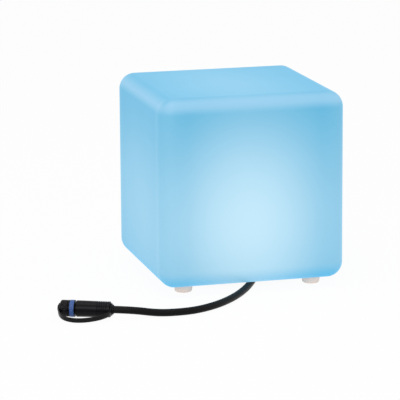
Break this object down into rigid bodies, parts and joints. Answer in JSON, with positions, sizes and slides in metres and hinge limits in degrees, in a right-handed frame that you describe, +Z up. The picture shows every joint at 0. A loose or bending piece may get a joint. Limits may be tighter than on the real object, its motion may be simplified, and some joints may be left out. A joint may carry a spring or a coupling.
{
  "type": "cube light",
  "caption": "Rounded glowing cube light on four feet, with a plug-in cable that ends in a capped screw coupling.",
  "frame": {"origin": "on the ground under the middle of the cube", "axes": "+Z up, -Y towards the front, +X to the right seen from the front"},
  "size_m": [0.3204, 0.2717, 0.2085],
  "materials": {
    "diffuser": "soft opal, lit from inside",
    "foot_rubber": "matt",
    "black_plastic": "fine grain",
    "blue_plastic": "satin",
    "black_rubber": "matt",
    "cable_sheath": "matt",
    "screw_steel": "satin",
    "insert_brass": "turned",
    "heat_plate": "satin",
    "white_board": "smooth",
    "light_chip": "smooth",
    "clear_dome": "clear",
    "driver_board": "smooth",
    "driver_part": "smooth",
    "terminal_green": "smooth",
    "wire": "smooth"
  },
  "bodies": {
    "lamp": {"diffuser_shell": "diffuser", "foot_front_left": "foot_rubber", "foot_front_right": "foot_rubber", "foot_rear_left": "foot_rubber", "foot_rear_right": "foot_rubber", "base_cover": "black_plastic", "gland_body": "black_plastic", "gland_lock_nut": "black_plastic", "gland_cap_nut": "black_plastic", "plug_body": "black_plastic", "base_gasket": "black_rubber", "gland_seal": "black_rubber", "gland_washer": "black_rubber", "nose_seal": "black_rubber", "cap_strap": "black_rubber", "cable": "cable_sheath", "cable_tail": "cable_sheath", "cover_screws": "screw_steel", "foot_screws": "screw_steel", "module_screws": "screw_steel", "driver_screws": "screw_steel", "terminal_screws": "screw_steel", "snap_ring": "screw_steel", "cover_inserts": "insert_brass", "foot_inserts": "insert_brass", "contact_pins": "insert_brass", "heat_plate": "heat_plate", "led_board": "white_board", "led_chips": "light_chip", "led_dome": "clear_dome", "driver_board": "driver_board", "driver_coil": "driver_part", "driver_capacitors": "driver_part", "control_chip": "driver_part", "terminal_block": "terminal_green", "plug_cores": "wire", "supply_wires": "wire", "led_wires": "wire"},
    "coupling_nut": {"coupling_nut": "black_plastic", "grip_band": "blue_plastic"},
    "end_cap": {"end_cap": "black_plastic"}
  },
  "joints": [
    {"name": "coupling_nut_turn", "type": "hinge", "parent": "lamp", "child": "coupling_nut", "pos_m": [-0.20482, -0.13912, 0.0087], "axis": [-0.9205, 0.3907, 0], "continuous": true},
    {"name": "end_cap_slide", "type": "slide", "parent": "lamp", "child": "end_cap", "axis": [-0.9205, 0.3907, 0], "range_m": [0, 0.02], "deforming": ["cap_strap"]}
  ]
}
